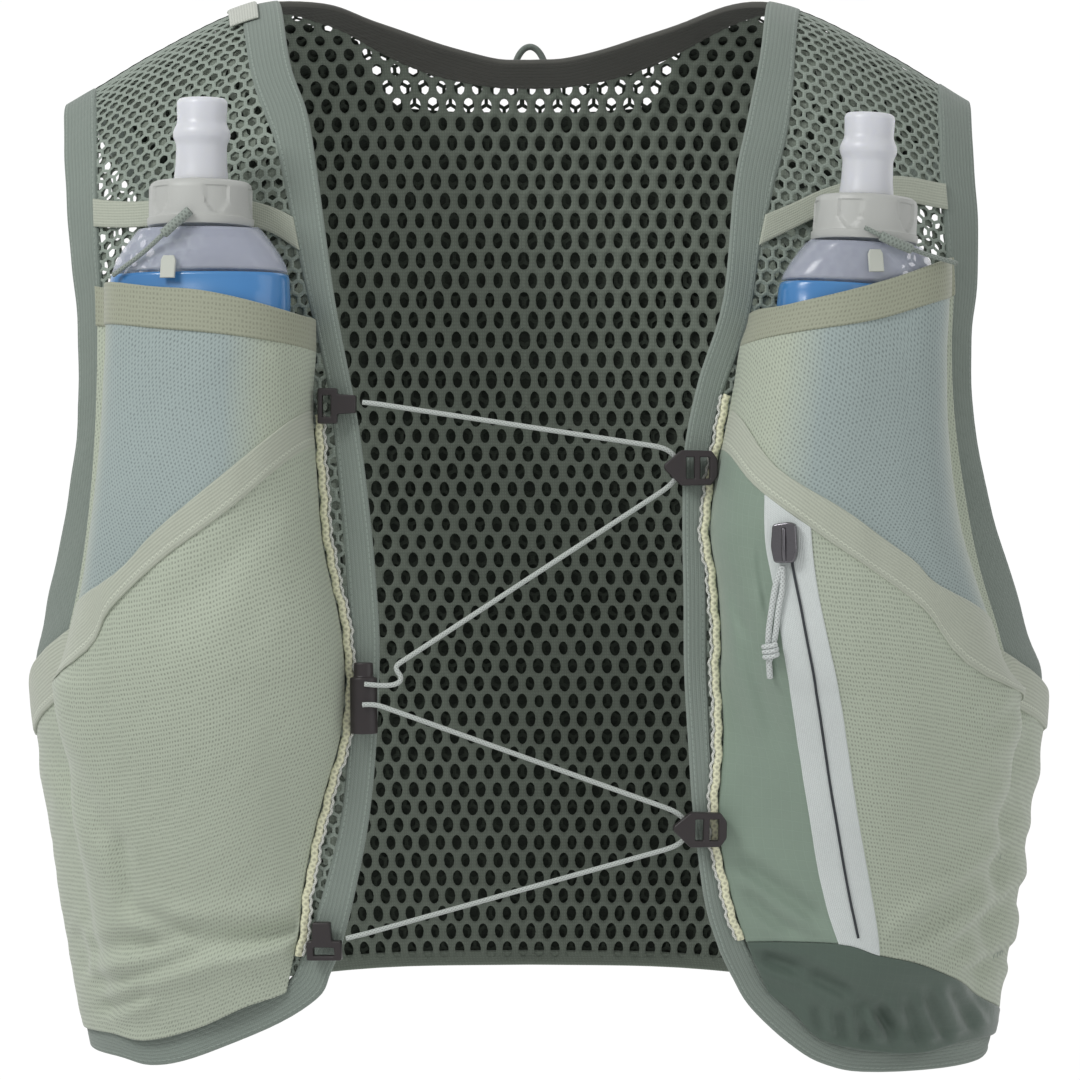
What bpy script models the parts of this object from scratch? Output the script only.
"""A running hydration vest: mesh back and yokes, edge tapes, stretch pockets with two soft flasks, chest lacing.

Metres, +Z up, the front faces -Y. The origin lies between the shoulders, where a body would carry the vest.
Every cloth piece lies on one body form, given by turn (0 in front, 90 degrees at the side seam, 180 behind)
and rise (-1 at the hem, 0 where the shoulders start to curve over, 1 on the shoulder line).
Tables give places as they show from the front: out, from the middle, as a share of SPAN, and up, from eye
level, as a share of RISE. Perspective from VIEW_DISTANCE is taken out when a place is looked up.
"""

import math

import bmesh
import bpy
import numpy as np
from mathutils import Matrix, Vector

VEST_WIDTH = 0.426
VEST_HEIGHT = 0.449
CHEST_DEPTH = 0.115
BACK_DEPTH = 0.112
EYE_LEVEL = -0.220
VIEW_DISTANCE = 2.4

MESH_WALL = 0.0018
BACK_WALL = 0.0028
TAPE_WALL = 0.0021
POCKET_WALL = 0.0012
BAND_WALL = 0.0020
RAIL_RADIUS = 0.0016
LACE_RADIUS = 0.00115
GAP = 0.0003
EDGE_GAP = 0.0005
TAPE_GAP = 0.0009
PANEL_GAP = 0.0013
ARM_TAPE_WIDTH = 0.012
NECK_TAPE_WIDTH = 0.010
NECK_END_TRIM = 0.003
LAYER_GAP = 0.0008

FLASK_DEPTH = 0.044
FLASK_LENGTH = 0.4365 * VEST_HEIGHT
CAP_RADIUS = 0.0225
CAP_HEIGHT = 0.019
VALVE_RADIUS = 0.0112
VALVE_HEIGHT = 0.035
FLASK_LEAN = 2.5
STRAP_WALL = 0.0015

SPAN = VEST_WIDTH / 1.014
RISE = VEST_HEIGHT / 1.069
FRONT_PLANE = -CHEST_DEPTH - 0.010
ROUNDNESS = 2.4
ARCH_UP = 0.143
HEM_UP = -0.530
TOP = 9.0
SEAM = 9.0
POCKET_LIFT = MESH_WALL + 2 * LAYER_GAP
LEFT = -1
RIGHT = 1
FLASK_WIDTH = {LEFT: 0.200 * SPAN, RIGHT: 0.1857 * SPAN}
SIDE_NAMES = {LEFT: "left", RIGHT: "right"}

# The body form by height: up, half width (SPAN), depth in front, depth behind, lean to the wearer's left (SPAN)
FORM = (
    (-0.530, 0.466, 0.84, 0.78, 0.010),
    (-0.400, 0.490, 0.91, 0.84, 0.010),
    (-0.270, 0.509, 0.96, 0.92, 0.010),
    (-0.170, 0.522, 0.99, 0.97, 0.010),
    (0.000, 0.521, 1.00, 1.00, 0.002),
    (0.143, 0.519, 1.00, 1.00, -0.004),
    (0.330, 0.530, 1.00, 1.00, -0.008),
    (0.560, 0.560, 1.00, 1.00, -0.010),
)
# The shoulder line from the neck outwards: out (SPAN), up (RISE)
SHOULDER = (
    (0.000, 0.566),
    (0.200, 0.565),
    (0.268, 0.560),
    (0.384, 0.508),
    (0.454, 0.466),
    (0.500, 0.440),
    (0.570, 0.396),
)

# Edges on the front, by side: out, up
BINDING_FREE = {
    LEFT: (
        (0.251, TOP), (0.241, 0.483), (0.222, 0.425), (0.211, 0.358), (0.195, 0.242), (0.173, 0.127),
        (0.160, 0.030), (0.152, -0.060), (0.150, -0.120), (0.154, -0.215), (0.162, -0.289),
        (0.177, -0.364), (0.189, -0.411),
    ),
    RIGHT: (
        (0.237, TOP), (0.231, 0.492), (0.218, 0.425), (0.204, 0.358), (0.193, 0.242), (0.168, 0.160),
        (0.154, 0.090), (0.152, 0.020), (0.153, -0.042), (0.154, -0.140), (0.160, -0.242),
        (0.168, -0.319), (0.176, -0.370), (0.189, -0.411),
    ),
}  # fmt: skip
BINDING_PANEL = {
    LEFT: (
        (0.287, TOP), (0.276, 0.470), (0.251, 0.397), (0.241, 0.349), (0.222, 0.253), (0.200, 0.155),
        (0.187, 0.040), (0.179, -0.060), (0.177, -0.120), (0.180, -0.215), (0.188, -0.289),
        (0.207, -0.364), (0.222, -0.411),
    ),
    RIGHT: (
        (0.267, TOP), (0.258, 0.440), (0.239, 0.349), (0.227, 0.291), (0.216, 0.220), (0.192, 0.152),
        (0.178, 0.090), (0.174, 0.020), (0.174, -0.042), (0.175, -0.140), (0.180, -0.242),
        (0.190, -0.319), (0.199, -0.370), (0.217, -0.411),
    ),
}  # fmt: skip
ARMHOLE_FREE = {
    LEFT: (
        (0.462, TOP), (0.464, 0.400), (0.461, 0.347), (0.458, 0.300), (0.450, 0.221), (0.449, 0.120),
        (0.461, 0.025), (0.476, -0.050), (0.486, -0.105), (SEAM, -0.150),
    ),
    RIGHT: (
        (0.437, TOP), (0.441, 0.380), (0.445, 0.320), (0.444, 0.253), (0.438, 0.200), (0.441, 0.120),
        (0.459, 0.025), (0.482, -0.050), (0.497, -0.105), (SEAM, -0.150),
    ),
}  # fmt: skip
ARMHOLE_PANEL = {
    LEFT: (
        (0.434, TOP), (0.434, 0.390), (0.433, 0.340), (0.431, 0.290), (0.427, 0.210), (0.429, 0.110),
        (0.437, 0.010), (0.451, -0.075), (0.469, -0.140), (SEAM, -0.180),
    ),
    RIGHT: (
        (0.408, TOP), (0.411, 0.370), (0.415, 0.315), (0.418, 0.250), (0.416, 0.190), (0.420, 0.110),
        (0.436, 0.005), (0.457, -0.075), (0.480, -0.138), (SEAM, -0.180),
    ),
}  # fmt: skip
# The same two edges behind, where both sides are alike but for the shoulder point they start from
BACK_ARMHOLE_FREE = (
    (0.420, 0.385), (0.382, 0.320), (0.368, 0.240), (0.376, 0.140), (0.400, 0.045),
    (0.440, -0.040), (0.480, -0.105), (SEAM, -0.150),
)  # fmt: skip
BACK_ARMHOLE_PANEL = (
    (0.392, 0.395), (0.355, 0.325), (0.340, 0.240), (0.348, 0.135), (0.373, 0.035),
    (0.412, -0.055), (0.455, -0.125), (SEAM, -0.180),
)  # fmt: skip
NECK_FREE = ((0.0, 0.478), (0.040, 0.480), (0.098, 0.496), (0.155, 0.515), (0.203, 0.531))
NECK_PANEL = ((0.0, 0.453), (0.040, 0.455), (0.098, 0.467), (0.151, 0.490), (0.200, 0.515))
BACK_HEM = ((0.0, -0.421), (0.150, -0.424), (0.300, -0.440), (0.420, -0.462), (SEAM, -0.478))

# The inner edge of the pockets, where the rail runs
RAIL_LINE = {
    LEFT: (
        (0.213, 0.300), (0.212, 0.220), (0.212, 0.187), (0.215, 0.139), (0.211, 0.064), (0.205, -0.006),
        (0.190, -0.074), (0.184, -0.125), (0.185, -0.170), (0.190, -0.205), (0.203, -0.250),
        (0.216, -0.302), (0.225, -0.351), (0.229, -0.390), (0.237, -0.430), (0.245, -0.470),
    ),
    RIGHT: (
        (0.222, 0.300), (0.217, 0.226), (0.208, 0.193), (0.202, 0.154), (0.192, 0.103), (0.183, 0.055),
        (0.179, 0.006), (0.186, -0.042), (0.190, -0.103), (0.189, -0.139), (0.192, -0.191),
        (0.189, -0.242), (0.187, -0.280), (0.192, -0.320), (0.204, -0.370), (0.220, -0.415),
        (0.236, -0.450),
    ),
}  # fmt: skip
POCKET_TOP = {
    LEFT: ((0.212, 0.220), (0.240, 0.228), (0.330, 0.250), (0.400, 0.256), (0.446, 0.256)),
    RIGHT: ((0.217, 0.226), (0.260, 0.236), (0.331, 0.253), (0.400, 0.275), (0.434, 0.287)),
}
POCKET_HEM = {
    LEFT: ((0.208, 0.187), (0.330, 0.208), (0.400, 0.214), (0.439, 0.215)),
    RIGHT: ((0.206, 0.193), (0.330, 0.217), (0.400, 0.236), (0.440, 0.250)),
}
BAND_TOP = {
    LEFT: (
        (0.214, 0.133), (0.299, 0.072), (0.374, 0.009), (0.430, -0.045), (0.464, -0.093),
        (0.497, -0.149), (SEAM, -0.160),
    ),
    RIGHT: (
        (0.200, 0.131), (0.247, 0.072), (0.320, 0.026), (0.380, -0.018), (0.424, -0.054),
        (0.477, -0.115), (0.513, -0.147), (SEAM, -0.156),
    ),
}  # fmt: skip
BAND_FOOT = {
    LEFT: (
        (0.212, 0.096), (0.297, 0.033), (0.365, -0.018), (0.418, -0.069), (0.455, -0.122),
        (0.488, -0.180), (SEAM, -0.194),
    ),
    RIGHT: (
        (0.189, 0.094), (0.223, 0.055), (0.271, 0.018), (0.344, -0.033), (0.392, -0.069),
        (0.455, -0.137), (0.504, -0.180), (SEAM, -0.190),
    ),
}  # fmt: skip
HEM_TOP = {
    LEFT: (
        (0.222, -0.411), (0.240, -0.443), (0.286, -0.461), (0.336, -0.483), (0.386, -0.494),
        (0.422, -0.486), (SEAM, -0.476),
    ),
    RIGHT: (
        (0.217, -0.411), (0.236, -0.443), (0.263, -0.465), (0.290, -0.492), (0.334, -0.503),
        (0.385, -0.507), (0.436, -0.494), (SEAM, -0.482),
    ),
}  # fmt: skip
HEM_FOOT = {
    LEFT: (
        (0.198, -0.431), (0.212, -0.458), (0.261, -0.488), (0.336, -0.518), (0.378, -0.525),
        (0.410, -0.516), (SEAM, -0.502),
    ),
    RIGHT: (
        (0.199, -0.432), (0.219, -0.466), (0.257, -0.502), (0.296, -0.525), (0.347, -0.532),
        (0.436, -0.523), (SEAM, -0.506),
    ),
}  # fmt: skip
GUSSET_TOP = (
    (0.217, -0.402), (0.309, -0.404), (0.347, -0.415), (0.385, -0.423), (0.423, -0.438),
    (0.452, -0.459), (SEAM, -0.468),
)  # fmt: skip
ZIP_INNER = (
    (0.234, 0.070), (0.234, 0.006), (0.242, -0.042), (0.256, -0.130),
    (0.273, -0.242), (0.293, -0.357), (0.316, -0.430),
)  # fmt: skip
ZIP_OUTER = (
    (0.279, 0.030), (0.283, -0.020), (0.293, -0.079), (0.308, -0.150),
    (0.326, -0.268), (0.346, -0.385), (0.349, -0.440),
)  # fmt: skip

# How the pockets stand off the body by height: up, share of the flask's depth, where across the pocket the
# swell is highest, and how it leaves the rail (low numbers are steep)
FILL = {
    LEFT: (
        (-0.500, 0.04, 0.48, 1.20), (-0.440, 0.24, 0.48, 1.00), (-0.330, 0.50, 0.46, 0.90),
        (-0.240, 0.76, 0.43, 0.65), (-0.130, 1.07, 0.39, 0.50), (0.000, 1.14, 0.38, 0.48),
        (0.150, 1.08, 0.38, 0.48), (0.300, 1.06, 0.38, 0.48),
    ),
    RIGHT: (
        (-0.500, 0.04, 0.50, 2.20), (-0.440, 0.22, 0.50, 2.20), (-0.330, 0.46, 0.50, 2.20),
        (-0.240, 0.76, 0.45, 1.50), (-0.130, 1.07, 0.39, 0.50), (0.000, 1.14, 0.38, 0.48),
        (0.150, 1.10, 0.39, 0.50), (0.300, 1.08, 0.39, 0.50),
    ),
}  # fmt: skip
SWELL_END = math.radians(68)
CROWDING = 1.7

# A soft flask from its neck down: share of length, of width, of depth
FLASK_SECTIONS = (
    (0.000, 0.00, 0.00),
    (0.004, 0.50, 0.94),
    (0.030, 0.58, 0.94),
    (0.090, 0.74, 0.93),
    (0.160, 0.90, 0.95),
    (0.220, 0.95, 0.98),
    (0.300, 0.93, 1.00),
    (0.600, 0.90, 0.98),
    (0.800, 0.88, 0.90),
    (0.900, 0.84, 0.70),
    (0.960, 0.76, 0.46),
    (0.992, 0.58, 0.20),
    (1.000, 0.00, 0.00),
)
FLASK_SEAT = {LEFT: (0.3295, 0.312), RIGHT: (0.3340, 0.297)}
FLASK_FRONT = 0.0065
FLASK_Y = -CHEST_DEPTH - FLASK_FRONT
FLASK_FACING = {LEFT: 14.0, RIGHT: 15.0}
FLASK_ROLL = {LEFT: 0.0, RIGHT: 3.5}
LEASH_RADIUS = 0.0010
LEASH_ROUTE = {
    LEFT: (
        (0.003, -0.0245, 0.005), (-0.006, -0.0255, -0.003),
        (-0.018, -0.0215, -0.012), (-0.033, -0.016, -0.021),
    ),
    RIGHT: (
        (-0.008, -0.0240, 0.004), (0.004, -0.0255, -0.001),
        (0.020, -0.0225, -0.005), (0.035, -0.019, -0.0075),
    ),
}
TAB_PLACE = {LEFT: (0.362, 0.262), RIGHT: (0.346, 0.268)}
TAB_WIDTH = 0.0065
TAB_HEIGHT = 0.0095
STRAP_TOP = {
    LEFT: ((0.230, 0.318), (0.260, 0.332), (0.300, 0.338), (0.385, 0.334), (0.440, 0.340)),
    RIGHT: ((0.226, 0.320), (0.260, 0.334), (0.300, 0.350), (0.360, 0.358), (0.425, 0.352)),
}
STRAP_FOOT = {
    LEFT: ((0.230, 0.288), (0.260, 0.306), (0.300, 0.313), (0.385, 0.309), (0.440, 0.312)),
    RIGHT: ((0.226, 0.292), (0.260, 0.308), (0.300, 0.325), (0.360, 0.333), (0.425, 0.327)),
}
STRAP_BOW = 0.004

# The braided rails and the chest lacing
RAIL_ENDS = {LEFT: (0.139, -0.425), RIGHT: (0.150, -0.405)}
HARDWARE_LIFT = TAPE_WALL + LAYER_GAP + 2 * RAIL_RADIUS
CLIP_WALL = 0.0040
ADJUSTER_WALL = 0.0075
CLIP_TOP = (0.193, 0.134)
CLIP_BOTTOM = (0.205, -0.401)
ADJUSTER = (0.165, -0.158)
HOOK_UPPER = (0.160, 0.072)
HOOK_LOWER = (0.169, -0.289)
CLIP_OUTLINE = (
    (-0.0078, -0.0075), (0.0005, -0.0075), (0.0005, -0.0035), (0.0085, -0.0030), (0.0085, 0.0045),
    (0.0005, 0.0050), (0.0005, 0.0075), (-0.0078, 0.0075),
)  # fmt: skip
CLIP_SLOT = ((-0.0058, -0.0045), (-0.0022, -0.0045), (-0.0022, 0.0045), (-0.0058, 0.0045))
ADJUSTER_OUTLINE = (
    (-0.0055, -0.0148), (0.0055, -0.0148), (0.0058, 0.0090), (0.0042, 0.0100), (0.0042, 0.0152),
    (-0.0042, 0.0152), (-0.0042, 0.0100), (-0.0058, 0.0090),
)  # fmt: skip
HOOK_OUTLINE = (
    (-0.0112, -0.0005), (-0.0040, -0.0075), (0.0088, -0.0072), (0.0114, -0.0035), (0.0114, 0.0035),
    (0.0088, 0.0072), (-0.0040, 0.0075), (-0.0112, 0.0015),
)  # fmt: skip
HOOK_SLOTS = (
    ((-0.0020, -0.0045), (0.0015, -0.0045), (0.0015, 0.0045), (-0.0020, 0.0045)),
    ((0.0040, -0.0045), (0.0080, -0.0045), (0.0080, 0.0045), (0.0040, 0.0045)),
)
UNDER_HOOK = HARDWARE_LIFT - GAP - LACE_RADIUS
IN_CLIP = HARDWARE_LIFT + CLIP_WALL / 2
ON_BARREL = HARDWARE_LIFT + ADJUSTER_WALL + GAP + LACE_RADIUS
# Each lace's route: out (signed), up, lift
LACES = {
    "lace_upper": (
        (-0.170, 0.138, IN_CLIP), (-0.155, 0.1365, IN_CLIP), (0.131, 0.093, UNDER_HOOK), (0.141, 0.089, UNDER_HOOK),
        (0.148, 0.080, UNDER_HOOK), (0.150, 0.072, UNDER_HOOK), (0.148, 0.064, UNDER_HOOK), (0.141, 0.055, UNDER_HOOK),
        (0.131, 0.048, UNDER_HOOK), (-0.138, -0.128, ON_BARREL), (-0.129, -0.134, ON_BARREL),
        (-0.126, -0.139, ON_BARREL), (-0.130, -0.144, ON_BARREL), (-0.145, -0.146, ON_BARREL),
        (-0.168, -0.144, ON_BARREL),
    ),
    "lace_lower": (
        (-0.170, -0.165, ON_BARREL), (-0.155, -0.164, ON_BARREL), (-0.138, -0.170, ON_BARREL),
        (0.142, -0.270, UNDER_HOOK), (0.151, -0.275, UNDER_HOOK), (0.157, -0.282, UNDER_HOOK),
        (0.159, -0.289, UNDER_HOOK), (0.157, -0.297, UNDER_HOOK), (0.150, -0.304, UNDER_HOOK),
        (0.141, -0.308, UNDER_HOOK), (-0.165, -0.394, IN_CLIP), (-0.186, -0.399, IN_CLIP),
    ),
}  # fmt: skip

# The chest pocket's zip pull
ZIP_SLIDER = (0.256, -0.002)
SLIDER_WALL = 0.0035
SLIDER_OUTLINE = (
    (-0.0045, -0.0085), (0.0040, -0.0085), (0.0055, -0.0040), (0.0050, 0.0075), (0.0020, 0.0085),
    (-0.0050, 0.0075), (-0.0058, -0.0020),
)  # fmt: skip
PULL_RADIUS = 0.0013
PULL_ROUTE = ((0.252, -0.026), (0.249, -0.046), (0.245, -0.070), (0.242, -0.094))
PULL_KNOT = (0.2405, -0.111)
KNOT_SIZE = (0.0078, 0.0095, 0.0055)
HANG_WIDTH = 0.016
HANG_RISE = 0.017
HANG_TAPE = 0.006
SHOULDER_TAB = (((0.272, TOP), (0.300, TOP)), ((0.272, 0.515), (0.300, 0.505)))


# Curves and the body form


def smooth(xs, ys, at):
    """A smooth curve through the points (xs, ys), read at an array of places."""
    xs = np.asarray(xs, float)
    ys = np.asarray(ys, float)
    slopes = np.gradient(ys, xs)
    at = np.clip(at, xs[0], xs[-1])
    i = np.clip(np.searchsorted(xs, at) - 1, 0, len(xs) - 2)
    step = xs[i + 1] - xs[i]
    t = (at - xs[i]) / step
    rest = (1 - t) ** 2 * ((1 + 2 * t) * ys[i] + t * step * slopes[i])
    return rest + t**2 * ((3 - 2 * t) * ys[i + 1] - (1 - t) * step * slopes[i + 1])


FORM_RISE = [(row[0] - ARCH_UP) / (ARCH_UP - HEM_UP if row[0] < ARCH_UP else 0.560 - ARCH_UP) for row in FORM]


def form(column, rise):
    return smooth(FORM_RISE, [row[column] for row in FORM], rise)


def shoulder_height(x):
    """Height of the shoulder line over a place, above eye level."""
    return RISE * smooth([row[0] * SPAN for row in SHOULDER], [row[1] for row in SHOULDER], np.abs(x))


def bare_body(turn, rise):
    """Places on the body form itself, as an array with x, y and z last."""
    turn, rise = np.broadcast_arrays(np.asarray(turn, float), np.asarray(rise, float))
    phi = np.maximum(rise, 0) * math.pi / 2
    sine, cosine = np.sin(turn), np.cos(turn)
    x = SPAN * form(1, rise) * np.sign(sine) * np.abs(sine) ** (2 / ROUNDNESS)
    depth = np.where(cosine > 0, CHEST_DEPTH * form(2, rise), BACK_DEPTH * form(3, rise))
    y = -depth * np.sign(cosine) * np.abs(cosine) ** (2 / ROUNDNESS) * np.cos(phi)
    base = ARCH_UP * RISE
    z = base + np.minimum(rise, 0) * (ARCH_UP - HEM_UP) * RISE + (shoulder_height(x) - base) * np.sin(phi)
    return np.stack([x + SPAN * form(4, rise), y, z + EYE_LEVEL], axis=-1)


def outward(turn, rise):
    """The direction straight out of the body form."""
    nudge = 0.01
    across = bare_body(np.add(turn, nudge), rise) - bare_body(np.subtract(turn, nudge), rise)
    along = bare_body(turn, np.add(rise, nudge)) - bare_body(turn, np.subtract(rise, nudge))
    normal = np.cross(across, along)
    return normal / np.maximum(np.linalg.norm(normal, axis=-1, keepdims=True), 1e-12)


def body(turn, rise, lift=0.0):
    """Places at a height of lift over the body form."""
    return bare_body(turn, rise) + outward(turn, rise) * np.asarray(lift)[..., None]


def shares(points):
    """out and up of places as they show from the front, out being signed."""
    near = (VIEW_DISTANCE + FRONT_PLANE) / (VIEW_DISTANCE + points[..., 1])
    return np.stack([points[..., 0] * near / SPAN, (points[..., 2] - EYE_LEVEL) * near / RISE], axis=-1)


def rise_at(x, z):
    """The rise that a height above eye level has over x."""
    base = ARCH_UP * RISE
    arch = np.arcsin(np.clip((z - base) / (shoulder_height(x) - base), 0, 1)) * 2 / math.pi
    return np.where(z > base, arch, np.maximum((z - base) / ((ARCH_UP - HEM_UP) * RISE), -1.05))


def no_lift(turn, rise):
    return np.zeros(np.shape(turn))


def locate(out, up, side, behind=False, lift=no_lift):
    """turn and rise of the places that show at (out, up), on the form or lifted off it."""
    on_top = np.asarray(up) >= TOP
    goal = np.stack([np.asarray(out, float), np.where(on_top, 0.5, up)], axis=-1)
    aim = goal.copy()
    for _ in range(30):
        rise = np.where(on_top, 1.0, rise_at(aim[..., 0] * SPAN, aim[..., 1] * RISE))
        x = (aim[..., 0] - form(4, rise)) * SPAN
        reach = np.minimum(np.abs(x) / (SPAN * form(1, rise)), 0.99999)
        turn = np.sign(x) * np.arcsin(reach ** (ROUNDNESS / 2))
        turn = side * math.pi - turn if behind else turn
        missed = goal - shares(body(turn, rise, lift(turn, rise)))
        missed[..., 1] = np.where(on_top, 0.0, missed[..., 1])
        aim += 0.6 * missed
    return turn, rise


def edge(table, side, behind=False, lift=no_lift, steps=5):
    """A table's points as a dense line of (turn, rise), smooth between them."""
    out, up = (np.array(column, float) for column in zip(*table, strict=True))
    at_seam = out >= SEAM
    turn, rise = locate(side * np.where(at_seam, 0.4, out), up, side, behind, lift)
    seam_z = up * RISE * VIEW_DISTANCE / (VIEW_DISTANCE + FRONT_PLANE)
    seam_rise = rise_at(np.full(len(up), 0.2), np.where(at_seam, seam_z, 0))
    turn = np.where(at_seam, side * math.pi / 2, turn)
    rise = np.where(at_seam, seam_rise, rise)
    places = np.stack([turn, rise], axis=-1)
    stations = np.arange(len(places))
    fine = np.linspace(0, len(places) - 1, steps * (len(places) - 1) + 1)
    return np.stack([smooth(stations, places[:, i], fine) for i in (0, 1)], axis=-1)


def turn_on(line, rise):
    """turn of an upright edge at a rise."""
    order = np.argsort(line[:, 1])
    return np.interp(rise, line[order, 1], line[order, 0])


def rise_on(line, turn):
    """rise of a level edge at a turn."""
    order = np.argsort(line[:, 0])
    return np.interp(turn, line[order, 0], line[order, 1])


def resampled(line, count):
    """count places along a line, evenly spaced on the body."""
    points = body(line[:, 0], line[:, 1])
    run = np.concatenate([[0], np.cumsum(np.linalg.norm(np.diff(points, axis=0), axis=1))])
    at = np.linspace(0, run[-1], count)
    return np.stack([np.interp(at, run, line[:, i]) for i in (0, 1)], axis=-1)


# Edges that several pieces share

ARM = {}
ARM_BACK = {}
RAIL = {}
for side in (LEFT, RIGHT):
    free_point, panel_point = ARMHOLE_FREE[side][0], ARMHOLE_PANEL[side][0]
    ARM[side] = (edge(ARMHOLE_FREE[side], side), edge(ARMHOLE_PANEL[side], side))
    ARM_BACK[side] = (
        edge((free_point, *BACK_ARMHOLE_FREE), side, behind=True),
        edge((panel_point, *BACK_ARMHOLE_PANEL), side, behind=True),
    )
    RAIL[side] = edge(RAIL_LINE[side], side)


def past_tape(free, panel):
    """A line a gap beyond a tape's panel side, where the panel ends."""
    return panel + (panel - free) * PANEL_GAP / ARM_TAPE_WIDTH


def pocket_share(turn, rise, side):
    """How far across the pocket's swell a place is: 0 at the rail, 1 at the armhole tape or near the side seam."""
    inner = turn_on(RAIL[side], rise)
    outer = turn_on(ARM[side][1], rise)
    outer = np.where(rise < ARM[side][1][-1, 1], side * math.pi / 2, outer)
    outer = side * np.minimum(np.abs(outer), SWELL_END)
    return np.clip((turn - inner) / (outer - inner), 0, 1)


def pocket_lift(side):
    """The height of the pockets' cloth over the body form, as a function of turn and rise."""
    table = FILL[side]
    rises = [float(rise_at(0.13, row[0] * RISE)) for row in table]

    def lift(turn, rise):
        share = pocket_share(turn, rise, side)
        middle = smooth(rises, [row[2] for row in table], rise)
        steepness = smooth(rises, [row[3] for row in table], rise)
        inner = (1 - ((middle - share) / middle).clip(0, 1) ** 2.6) ** steepness
        outer = (1 - ((share - middle) / (1 - middle)).clip(0, 1) ** 4) ** 4
        swell = np.where(share < middle, inner, outer)
        return POCKET_LIFT + FLASK_DEPTH * smooth(rises, [row[1] for row in table], rise) * swell

    return lift


LIFT = {side: pocket_lift(side) for side in (LEFT, RIGHT)}


# Blender objects

for old in list(bpy.data.objects):
    bpy.data.objects.remove(old, do_unlink=True)

VEST = bpy.data.collections.new("running_hydration_vest")
bpy.context.scene.collection.children.link(VEST)
CUTTERS = bpy.data.collections.new("cutters")
bpy.context.scene.collection.children.link(CUTTERS)


def material(name, colour, roughness, metallic=0.0):
    made = bpy.data.materials.new(name)
    made.use_nodes = True
    shader = made.node_tree.nodes["Principled BSDF"]
    shader.inputs["Base Color"].default_value = (*colour, 1.0)
    shader.inputs["Roughness"].default_value = roughness
    shader.inputs["Metallic"].default_value = metallic
    return made


MESH = material("spacer_mesh", (0.10, 0.13, 0.11), 0.8)
TAPE = material("woven_tape", (0.21, 0.27, 0.23), 0.8)
STRETCH = material("stretch_pocket", (0.39, 0.45, 0.35), 0.7)
ELASTIC = material("elastic_band", (0.41, 0.46, 0.37), 0.7)
RIPSTOP = material("ripstop", (0.18, 0.27, 0.22), 0.5)
NYLON = material("dark_nylon", (0.12, 0.17, 0.13), 0.45)
ZIP = material("zip_tape", (0.38, 0.42, 0.44), 0.7)
CREAM = material("cream_braid", (0.80, 0.80, 0.58), 0.7)
BLACK = material("black_plastic", (0.026, 0.023, 0.024), 0.4)
CHROME = material("dark_chrome", (0.25, 0.25, 0.26), 0.2, 1.0)
CORD = material("grey_cord", (0.52, 0.56, 0.54), 0.7)
CAP = material("cap_plastic", (0.60, 0.60, 0.58), 0.4)
VALVE = material("valve_silicone", (0.75, 0.75, 0.80), 0.35)
FILM = material("flask_film", (0.30, 0.52, 0.75), 0.25)


def add(name, mesh, finish, collection=VEST):
    made = bpy.data.objects.new(name, mesh)
    collection.objects.link(made)
    if finish:
        mesh.materials.append(finish)
    if collection is CUTTERS:
        made.hide_render = True
        made.display_type = "WIRE"
    return made


def sheet(name, rows, columns, place, wall, finish, gaps=None, ring=False):
    """A cloth piece: a grid carried by place(along, across) to its middle surface, then thickened."""
    bm = bmesh.new()
    bmesh.ops.create_grid(bm, x_segments=columns, y_segments=rows, size=1)
    spots = np.array([vert.co[:2] for vert in bm.verts]) / 2 + 0.5
    if gaps:
        cells = [face for face in bm.faces if gaps(*((c + 1) / 2 for c in face.calc_center_median()[:2]))]
        bmesh.ops.delete(bm, geom=cells, context="FACES_ONLY")
        bm.verts.ensure_lookup_table()
        spots = np.array([vert.co[:2] for vert in bm.verts]) / 2 + 0.5
    points = place(spots[:, 1], spots[:, 0])
    for vert, point in zip(bm.verts, points, strict=True):
        vert.co = point
    if ring:
        bmesh.ops.remove_doubles(bm, verts=bm.verts, dist=1e-5)
    mesh = bpy.data.meshes.new(name)
    bm.to_mesh(mesh)
    bm.free()
    mesh.shade_smooth()
    made = add(name, mesh, finish)
    wall_modifier = made.modifiers.new("wall", "SOLIDIFY")
    wall_modifier.thickness = wall
    wall_modifier.offset = 0
    return made


def region(left, right, low, high, lift, wall, trim=EDGE_GAP, crowding=1.0):
    """place() for a piece between two upright edges, turn by rise, and two level edges, rise by turn.

    A crowding over 1 sets the columns closer towards the left edge, where a pocket rises steeply from its rail.
    """

    def place(along, across):
        across = across**crowding
        rise = np.full(np.shape(along), float(np.mean([low(0.0), high(0.0)])))
        for _ in range(25):
            turn = left(rise) + across * (right(rise) - left(rise))
            rise = low(turn) + along * (high(turn) - low(turn))
        width = np.linalg.norm(bare_body(right(rise), rise) - bare_body(left(rise), rise), axis=-1)
        height = np.linalg.norm(bare_body(turn, high(turn)) - bare_body(turn, low(turn)), axis=-1)
        turn = turn + (right(rise) - left(rise)) * (1 - 2 * across) * trim / np.maximum(width, 4 * trim)
        rise = rise + (high(turn) - low(turn)) * (1 - 2 * along) * trim / np.maximum(height, 4 * trim)
        return body(turn, rise, lift(turn, rise) + wall / 2)

    return place


def flat_lift(height):
    return lambda turn, rise: np.full(np.shape(turn), height)


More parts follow.
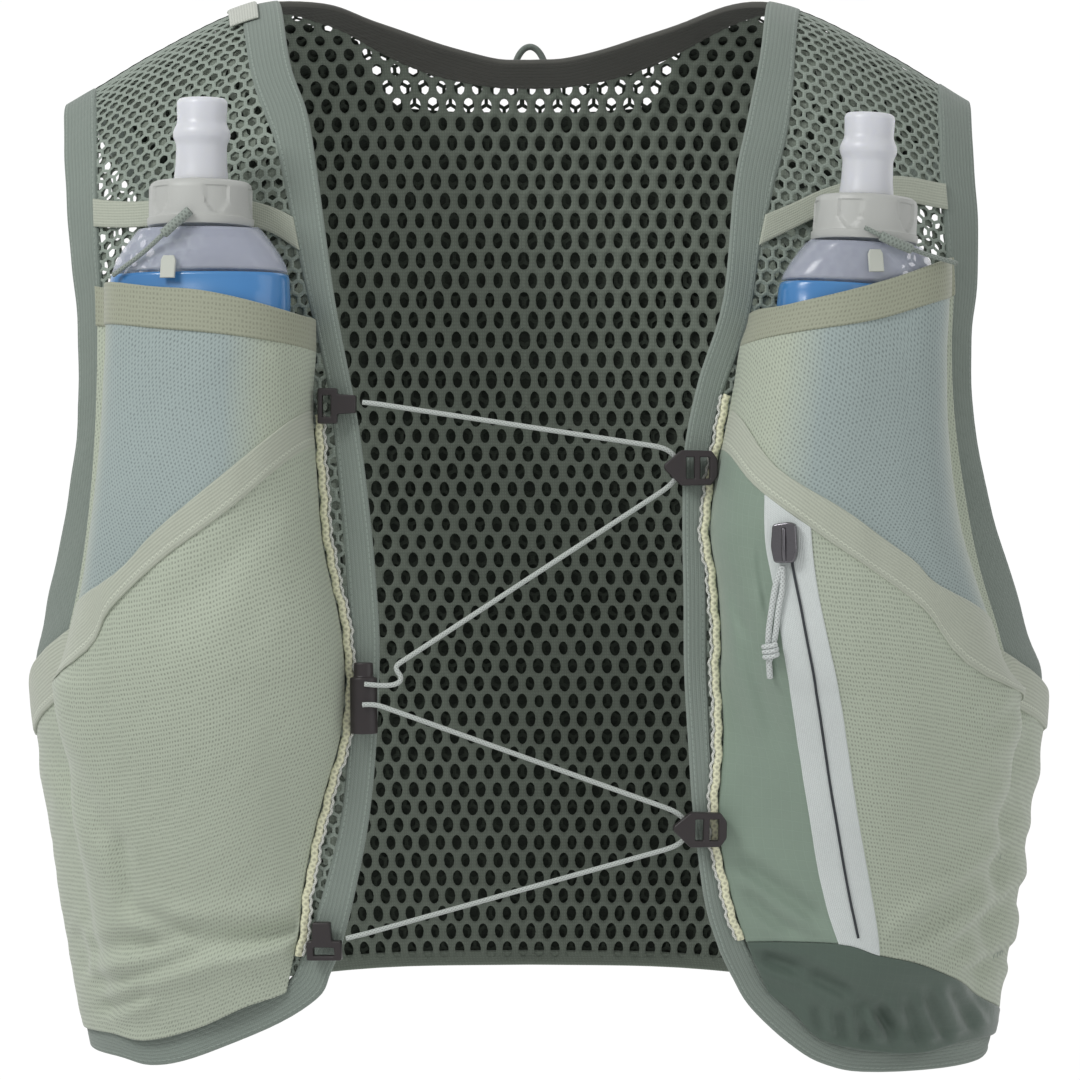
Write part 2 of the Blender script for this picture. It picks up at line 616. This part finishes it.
def fitted(inner, outer, low, high, wall, finish_lift=0.0):
    """place() for a panel between four lines that meet at its corners; its rows bend to follow them."""

    def read(line, share):
        run = np.linspace(0, 1, len(line))
        return np.stack([np.interp(share, run, line[:, i]) for i in (0, 1)], axis=-1)

    def blend(along, across):
        s, t = across[:, None], along[:, None]
        edges = (1 - s) * read(inner, along) + s * read(outer, along)
        edges = edges + (1 - t) * read(low, across) + t * read(high, across)
        corners = (1 - s) * ((1 - t) * inner[0] + t * inner[-1]) + s * ((1 - t) * outer[0] + t * outer[-1])
        return edges - corners

    def place(along, across, start_gap=EDGE_GAP):
        ends = [body(*blend(along, np.full(len(along), v)).T) for v in (0.0, 1.0)]
        width = np.linalg.norm(ends[1] - ends[0], axis=1)
        ends = [body(*blend(np.full(len(along), v), across).T) for v in (0.0, 1.0)]
        height = np.linalg.norm(ends[1] - ends[0], axis=1)
        across = across - across * EDGE_GAP / width + (1 - across) * start_gap / width
        along = along + (1 - 2 * along) * TAPE_GAP / height
        turn, rise = blend(along, across).T
        return body(turn, rise, np.full(len(along), finish_lift + wall / 2))

    return place


def outer_line(side, panel_edge, hem_rise, count=40):
    """Up the side seam from the hem, then along the armhole tape to the shoulder."""
    seam = np.array([[side * math.pi / 2, hem_rise], [side * math.pi / 2, panel_edge[-1, 1]]])
    return resampled(np.concatenate([seam, panel_edge[::-1][1:]]), count)


def joined(first, second, count, share):
    """Two lines end to end, the first taking this share of the places."""
    whole = round(count * share)
    return np.concatenate([resampled(first, whole)[:-1], resampled(second, count - whole + 1)])


def build_back():
    """The spacer-mesh back. Its net is cut through in a staggered field of gaps."""
    rows, columns = 22, 24
    halves = {}
    for side in (LEFT, RIGHT):
        hem = edge(BACK_HEM, side, behind=True)
        neck = edge((*NECK_PANEL, (BINDING_PANEL[side][0][0], TOP)), side, behind=True)
        tip = ARM_BACK[side][1][0]
        shoulder = np.stack([np.linspace(neck[-1, 0], tip[0], 12), np.ones(12)], axis=-1)
        middle = resampled(np.array([hem[0], neck[0]]), 40)
        outer = outer_line(side, past_tape(*ARM_BACK[side]), hem[-1, 1])
        halves[side] = fitted(middle, outer, resampled(hem, 40), joined(neck, shoulder, 40, 0.58), BACK_WALL)

    def place(along, across):
        points = np.zeros((len(across), 3))
        for side in (LEFT, RIGHT):
            mine = (across < 0.5) == (side == LEFT)
            points[mine] = halves[side](along[mine], np.abs(2 * across[mine] - 1), 0.0)
        return points

    def gaps(across, along):
        column, row = int(across * columns), int(along * rows)
        inside = 1 <= column < columns - 1 and 1 <= row < rows - 1
        return inside and row % 2 == 1 and column % 2 == (row // 2) % 2

    sheet("back_panel", rows, columns, place, BACK_WALL, MESH, gaps)


def build_yoke(side):
    """A front mesh panel, from its shoulder seam to the hem tape."""
    binding, hem = edge(BINDING_PANEL[side], side), edge(HEM_TOP[side], side)
    outer = outer_line(side, past_tape(*ARM[side]), hem[-1, 1])
    top = np.stack([np.linspace(binding[0, 0], outer[-1, 0], 40), np.ones(40)], axis=-1)
    place = fitted(resampled(binding[::-1], 40), outer, resampled(hem, 40), top, MESH_WALL)
    sheet(f"front_panel_{SIDE_NAMES[side]}", 24, 6, place, MESH_WALL, MESH)


def build_bindings(side):
    """Edge tapes: down the front opening, along the hem, round the armhole."""
    name = SIDE_NAMES[side]
    free, panel = edge(BINDING_FREE[side], side), edge(BINDING_PANEL[side], side)
    place = region(
        lambda rise: turn_on(free, rise),
        lambda rise: turn_on(panel, rise),
        lambda turn: np.full(np.shape(turn), rise_on(panel, panel[-1, 0])),
        lambda turn: np.ones(np.shape(turn)),
        flat_lift(0.0),
        TAPE_WALL,
    )
    sheet(f"front_binding_{name}", 30, 1, place, TAPE_WALL, TAPE)
    top, foot = edge(HEM_TOP[side], side), edge(HEM_FOOT[side], side)
    place = region(
        lambda rise: np.full(np.shape(rise), foot[0, 0]),
        lambda rise: np.full(np.shape(rise), side * math.pi / 2),
        lambda turn: rise_on(foot, turn),
        lambda turn: rise_on(top, turn),
        flat_lift(0.0),
        TAPE_WALL,
    )
    sheet(f"hem_binding_{name}", 1, 16, place, TAPE_WALL, TAPE)
    build_armhole_tape(side)


def build_armhole_tape(side):
    """A closed ring of tape: down the front of the armhole, under the arm and up behind."""
    count = 24
    rings = []
    for which in (0, 1):
        front = resampled(ARM[side][which], count)
        back = resampled(ARM_BACK[side][which], count)
        rings.append(np.concatenate([front, back[::-1][1:]]))
    free, panel = rings

    def place(along, across):
        station = np.clip(np.round(along * (len(free) - 1)).astype(int), 0, len(free) - 1)
        share = np.where(across < 0.5, 0.0, 1 - EDGE_GAP / ARM_TAPE_WIDTH)[:, None]
        spot = free[station] + (panel[station] - free[station]) * share
        return body(spot[:, 0], spot[:, 1], np.full(len(along), TAPE_WALL / 2))

    name = f"armhole_binding_{SIDE_NAMES[side]}"
    sheet(name, len(free) - 1, 1, place, TAPE_WALL, TAPE, ring=True)


def build_neck():
    """The tape round the back of the neck, from shoulder seam to shoulder seam."""
    lines = {}
    for which, table, ends in (("free", NECK_FREE, BINDING_FREE), ("panel", NECK_PANEL, BINDING_PANEL)):
        halves = [
            resampled(edge((*table, (ends[side][0][0], TOP)), side, behind=True), 14) for side in (LEFT, RIGHT)
        ]
        halves[1][:, 0] -= 2 * math.pi
        lines[which] = np.concatenate([halves[0][::-1], halves[1][1:]])

    def place(along, across):
        last = len(lines["free"]) - 1
        station = np.clip(np.round(along * last).astype(int), 0, last)
        share = np.where(across < 0.5, 0.0, 1 - EDGE_GAP / NECK_TAPE_WIDTH)[:, None]
        spot = lines["free"][station] + (lines["panel"][station] - lines["free"][station]) * share
        end_trim = np.where((station == 0) | (station == last), NECK_END_TRIM, 0.0)
        return body(spot[:, 0], spot[:, 1] - end_trim, np.full(len(along), TAPE_WALL / 2))

    sheet("neck_binding", len(lines["free"]) - 1, 1, place, TAPE_WALL, TAPE)


def build_pockets(side):
    """Flask pocket with its hem, the slanted band and the lower pocket."""
    name = SIDE_NAMES[side]
    lift = LIFT[side]

    def inner(rise):
        return turn_on(RAIL[side], rise)

    def to_arm(rise):
        return np.where(rise < ARM[side][1][-1, 1], side * math.pi / 2, turn_on(ARM[side][1], rise))

    def to_seam(rise):
        return np.full(np.shape(rise), side * math.pi / 2)

    def level(table):
        line = edge(table, side, lift=lift)
        return lambda turn: rise_on(line, turn)

    top, hem = level(POCKET_TOP[side]), level(POCKET_HEM[side])
    band_top, band_foot = level(BAND_TOP[side]), level(BAND_FOOT[side])
    bottom = level(HEM_TOP[side])
    place = region(inner, to_arm, hem, top, lift, BAND_WALL, EDGE_GAP, CROWDING)
    sheet(f"flask_pocket_hem_{name}", 1, 16, place, BAND_WALL, STRETCH)
    place = region(inner, to_arm, band_top, hem, lift, POCKET_WALL, TAPE_GAP, CROWDING)
    sheet(f"flask_pocket_{name}", 6, 16, place, POCKET_WALL, STRETCH)
    place = region(inner, to_seam, band_foot, band_top, lift, BAND_WALL, TAPE_GAP, CROWDING)
    sheet(f"diagonal_band_{name}", 1, 16, place, BAND_WALL, ELASTIC)
    if side == LEFT:
        place = region(inner, to_seam, bottom, band_foot, lift, POCKET_WALL, EDGE_GAP, CROWDING)
        sheet("lower_pocket_left", 9, 16, place, POCKET_WALL, STRETCH)
        return
    gusset_top = level(GUSSET_TOP)
    zip_inner, zip_outer = (edge(table, side, lift=lift) for table in (ZIP_INNER, ZIP_OUTER))

    def to_zip(rise):
        return turn_on(zip_inner, rise)

    def past_zip(rise):
        return turn_on(zip_outer, rise)

    place = region(inner, to_zip, gusset_top, band_foot, lift, POCKET_WALL)
    sheet("ripstop_panel", 10, 4, place, POCKET_WALL, RIPSTOP)
    place = region(to_zip, past_zip, gusset_top, band_foot, lift, BAND_WALL)
    sheet("zip_tape", 10, 1, place, BAND_WALL, ZIP)
    place = region(past_zip, to_seam, gusset_top, band_foot, lift, POCKET_WALL, TAPE_GAP)
    sheet("lower_pocket_right", 8, 14, place, POCKET_WALL, STRETCH)
    place = region(inner, to_seam, bottom, gusset_top, lift, POCKET_WALL)
    sheet("gusset", 3, 12, place, POCKET_WALL, NYLON)


# Small parts: each sits at a place on the front, in a frame of right, up and outwards


def spot(side, out, up, lift=0.0, over=no_lift):
    """A place on the front at a height over the form, or over what lies on it."""
    turn, rise = locate([side * out], [up], side, lift=lambda t, r: over(t, r) + lift)
    return Vector(body(turn, rise, over(turn, rise) + lift)[0])


def frame_at(side, out, up, lift=0.0, over=no_lift, roll=0.0):
    """Axes of a small part: X to the image's right, Y up, Z straight out of the cloth."""
    here = spot(side, out, up, lift, over)
    right = spot(side, out + side * 0.004, up, lift, over) - here
    above = spot(side, out, up + 0.004, lift, over) - here
    out_axis = right.cross(above).normalized()
    up_axis = out_axis.cross(right).normalized()
    axes = Matrix((right.normalized(), up_axis, out_axis)).transposed().to_4x4()
    return Matrix.Translation(here) @ axes @ Matrix.Rotation(roll, 4, "Z")


def plate(name, where, outline, holes, thickness, finish, scale=1.0):
    """A flat moulded piece: an outline with holes, in metres from its own middle, its back on the frame's plane."""
    curve = bpy.data.curves.new(name, "CURVE")
    curve.dimensions = "2D"
    curve.fill_mode = "BOTH"
    curve.extrude = thickness / 2
    for ring in (outline, *holes):
        spline = curve.splines.new("POLY")
        spline.points.add(len(ring) - 1)
        for point, (x, y) in zip(spline.points, ring, strict=True):
            point.co = (x * scale, y * scale, 0, 1)
        spline.use_cyclic_u = True
    made = bpy.data.objects.new(name, curve)
    VEST.objects.link(made)
    curve.materials.append(finish)
    made.matrix_world = where @ Matrix.Translation((0, 0, thickness / 2))
    return made


def box_ring(x0, x1, y0, y1):
    return ((x0, y0), (x1, y0), (x1, y1), (x0, y1))


def tube(name, points, radius, finish, sides=2, steps=3):
    """A round cord on a smooth curve through its route's points."""
    route = np.array([tuple(point) for point in points])
    run = np.concatenate([[0], np.cumsum(np.linalg.norm(np.diff(route, axis=0), axis=1))])
    at = np.concatenate([np.linspace(a, b, steps, endpoint=False) for a, b in zip(run, run[1:])] + [run[-1:]])
    fine = np.stack([smooth(run, route[:, i], at) for i in range(3)], axis=-1)
    curve = bpy.data.curves.new(name, "CURVE")
    curve.dimensions = "3D"
    curve.bevel_depth = radius
    curve.bevel_resolution = sides
    curve.use_fill_caps = True
    spline = curve.splines.new("POLY")
    spline.points.add(len(fine) - 1)
    for point, place in zip(spline.points, fine, strict=True):
        point.co = (*place, 1)
    made = bpy.data.objects.new(name, curve)
    VEST.objects.link(made)
    curve.materials.append(finish)
    return made


def turned(name, profile, where, finish, steps=14):
    """A turned piece from a profile that runs down its outer side."""
    mesh = bpy.data.meshes.new(name)
    mesh.from_pydata([(r, 0, z) for r, z in profile], [(i, i + 1) for i in range(len(profile) - 1)], [])
    made = add(name, mesh, finish)
    made.matrix_world = where
    screw = made.modifiers.new("turn", "SCREW")
    screw.steps = screw.render_steps = steps
    screw.use_merge_vertices = True
    screw.merge_threshold = 1e-5
    return made


def flask_frame(side):
    """The flask's neck: Z along the flask, X across its width, Y into its depth."""
    out, up = FLASK_SEAT[side]
    near = (VIEW_DISTANCE + FLASK_Y) / (VIEW_DISTANCE + FRONT_PLANE)
    neck = Vector((side * out * SPAN * near, FLASK_Y, up * RISE * near + EYE_LEVEL))
    lean = Matrix.Rotation(math.radians(-FLASK_LEAN), 4, "X")
    facing = Matrix.Rotation(math.radians(side * FLASK_FACING[side]), 4, "Z")
    roll = Matrix.Rotation(math.radians(FLASK_ROLL[side]), 4, "Y")
    return Matrix.Translation(neck) @ roll @ facing @ lean


def build_flask(side):
    """A soft flask: flat-sided body, screw cap, bite valve."""
    name = SIDE_NAMES[side]
    where = flask_frame(side)
    bm = bmesh.new()
    rings = len(FLASK_SECTIONS) - 1
    bmesh.ops.create_uvsphere(bm, u_segments=16, v_segments=rings, radius=1)
    for vert in bm.verts:
        ring = round(math.acos(max(-1, min(1, vert.co.z))) / math.pi * rings)
        along, width, depth = FLASK_SECTIONS[ring]
        flat = math.hypot(vert.co.x, vert.co.y)
        across, deep = (vert.co.x / flat, vert.co.y / flat) if flat > 1e-6 else (0, 0)
        half, thick = FLASK_WIDTH[side] / 2 * width, FLASK_DEPTH / 2 * depth
        vert.co = (across * half, deep * thick, -FLASK_LENGTH * along)
    mesh = bpy.data.meshes.new(f"flask_body_{name}")
    bm.to_mesh(mesh)
    bm.free()
    mesh.shade_smooth()
    add(f"flask_body_{name}", mesh, FILM).matrix_world = where
    r, h = CAP_RADIUS, CAP_HEIGHT
    cap = ((0, h), (0.56 * r, h), (0.86 * r, 0.84 * h), (0.97 * r, 0.55 * h), (r, 0.35 * h), (r, 0), (0, 0))
    turned(f"flask_cap_{name}", cap, where @ Matrix.Translation((0, 0, GAP)), CAP)
    r, h = VALVE_RADIUS, VALVE_HEIGHT
    valve = (
        (0, h), (0.86 * r, h), (0.97 * r, 0.93 * h), (0.90 * r, 0.62 * h), (1.10 * r, 0.58 * h), (1.10 * r, 0.46 * h),
        (0.95 * r, 0.42 * h), (1.06 * r, 0.05 * h), (1.06 * r, 0), (0, 0),
    )  # fmt: skip
    turned(f"flask_valve_{name}", valve, where @ Matrix.Translation((0, 0, CAP_HEIGHT + 2 * GAP)), VALVE, 10)
    leash = [where @ Vector(point) for point in LEASH_ROUTE[side]]
    tube(f"flask_leash_{name}", leash, LEASH_RADIUS, CORD, 1)
    pocket_top = frame_at(side, *TAB_PLACE[side], over=lambda t, r: LIFT[side](t, r) - 0.0002)
    tab = box_ring(-TAB_WIDTH / 2, TAB_WIDTH / 2, 0, TAB_HEIGHT)
    plate(f"pocket_tab_{name}", pocket_top, tab, (), STRAP_WALL, CORD)


def build_strap(side):
    """The elastic that passes behind the flask's cap, from the armhole tape to the front tape."""
    top, foot = edge(STRAP_TOP[side], side), edge(STRAP_FOOT[side], side)
    inner, outer = edge(BINDING_PANEL[side], side), ARM[side][1]

    def bowed(turn, rise):
        share = (turn - turn_on(inner, rise)) / (turn_on(outer, rise) - turn_on(inner, rise))
        return MESH_WALL + LAYER_GAP / 2 + STRAP_BOW * np.sin(math.pi * np.clip(share, 0, 1)) ** 2

    place = region(
        lambda rise: turn_on(inner, rise),
        lambda rise: turn_on(outer, rise),
        lambda turn: rise_on(foot, turn),
        lambda turn: rise_on(top, turn),
        bowed,
        STRAP_WALL,
    )
    sheet(f"flask_strap_{SIDE_NAMES[side]}", 1, 14, place, STRAP_WALL, ELASTIC)


def build_rail(side):
    """The braided rail along the pocket's inner edge, on top of the front tape where they meet."""
    line = RAIL[side]
    high, low = (rise_at(0.1, end * RISE) for end in RAIL_ENDS[side])
    line = line[(line[:, 1] < high) & (line[:, 1] > low)]
    line = resampled(line, 24)
    lift = TAPE_WALL + LAYER_GAP / 2 + RAIL_RADIUS
    here = body(line[:, 0], line[:, 1], np.full(len(line), lift))
    aside = body(line[:, 0] - side * 0.01, line[:, 1], np.full(len(line), lift)) - here
    aside /= np.linalg.norm(aside, axis=1, keepdims=True)
    tube(f"lace_rail_{SIDE_NAMES[side]}", here + aside * (RAIL_RADIUS + EDGE_GAP), RAIL_RADIUS, CREAM, 1, 1)


def hardware_frame(side, out, up, roll=0.0):
    return frame_at(side, out, up, HARDWARE_LIFT, roll=math.radians(roll))


def build_hardware():
    """Clips on the image-left rail, hooks on the image-right one, and the barrel that locks the cord."""
    plate("clip_top", hardware_frame(LEFT, *CLIP_TOP), CLIP_OUTLINE, (CLIP_SLOT,), CLIP_WALL, BLACK)
    plate("clip_bottom", hardware_frame(LEFT, *CLIP_BOTTOM, 90), CLIP_OUTLINE, (CLIP_SLOT,), CLIP_WALL, BLACK)
    plate("cord_adjuster", hardware_frame(LEFT, *ADJUSTER), ADJUSTER_OUTLINE, (), ADJUSTER_WALL, BLACK)
    for name, where in (("hook_upper", HOOK_UPPER), ("hook_lower", HOOK_LOWER)):
        plate(name, hardware_frame(RIGHT, *where), HOOK_OUTLINE, HOOK_SLOTS, CLIP_WALL, BLACK)


def lace_point(out, up, lift):
    """A point of a chest lace: over the cloth near its ends, on a straight line where it crosses the gap."""
    side = LEFT if out < 0 else RIGHT
    return spot(side, abs(out), up, lift)


def build_laces():
    for name, route in LACES.items():
        tube(name, [lace_point(*row) for row in route], LACE_RADIUS, CORD, 2, 1)


def build_zip_pull():
    """The slider on the zip tape, its looped cord and the knot near the cord's end."""
    over = LIFT[RIGHT]
    slider = frame_at(RIGHT, *ZIP_SLIDER, BAND_WALL + LAYER_GAP / 2, over)
    plate("zip_slider", slider, SLIDER_OUTLINE, (), SLIDER_WALL, CHROME)
    lift = BAND_WALL + LAYER_GAP + PULL_RADIUS
    route = [spot(RIGHT, out, up, lift, over) for out, up in PULL_ROUTE]
    tube("zip_pull_cord", route, PULL_RADIUS, CORD)
    place = frame_at(RIGHT, *PULL_KNOT, BAND_WALL + LAYER_GAP + KNOT_SIZE[2] / 2, over)
    bm = bmesh.new()
    bmesh.ops.create_uvsphere(bm, u_segments=12, v_segments=8, radius=0.5)
    for vert in bm.verts:
        vert.co = [c * size for c, size in zip(vert.co, KNOT_SIZE, strict=True)]
    mesh = bpy.data.meshes.new("zip_pull_knot")
    bm.to_mesh(mesh)
    bm.free()
    mesh.shade_smooth()
    add("zip_pull_knot", mesh, CORD).matrix_world = place


def build_loops():
    """The hang loop behind the neck and the webbing tab on the image-left shoulder."""
    base = edge(NECK_PANEL, RIGHT, behind=True)[0]

    def arch(along, across):
        angle = math.pi * along
        middle = body(*base, BACK_WALL)
        sideways = HANG_WIDTH / 2 * np.cos(angle)
        upwards = HANG_RISE * np.sin(angle)
        outwards = STRAP_WALL + (across - 0.5) * HANG_TAPE
        return middle + np.stack([sideways, outwards + HANG_TAPE / 2, upwards], axis=-1)

    sheet("hang_loop", 10, 1, arch, STRAP_WALL, TAPE)
    top, foot = edge(SHOULDER_TAB[0], LEFT), edge(SHOULDER_TAB[1], LEFT)
    place = region(
        lambda rise: np.full(np.shape(rise), top[0, 0]),
        lambda rise: np.full(np.shape(rise), top[-1, 0]),
        lambda turn: rise_on(foot, turn),
        lambda turn: np.full(np.shape(turn), 1.0),
        flat_lift(TAPE_WALL + LAYER_GAP),
        STRAP_WALL,
    )
    sheet("shoulder_tab", 2, 2, place, STRAP_WALL, CORD)


def main():
    build_back()
    build_neck()
    for side in (LEFT, RIGHT):
        build_yoke(side)
        build_bindings(side)
        build_pockets(side)
        build_flask(side)
        build_strap(side)
        build_rail(side)
    build_hardware()
    build_laces()
    build_zip_pull()
    build_loops()


main()
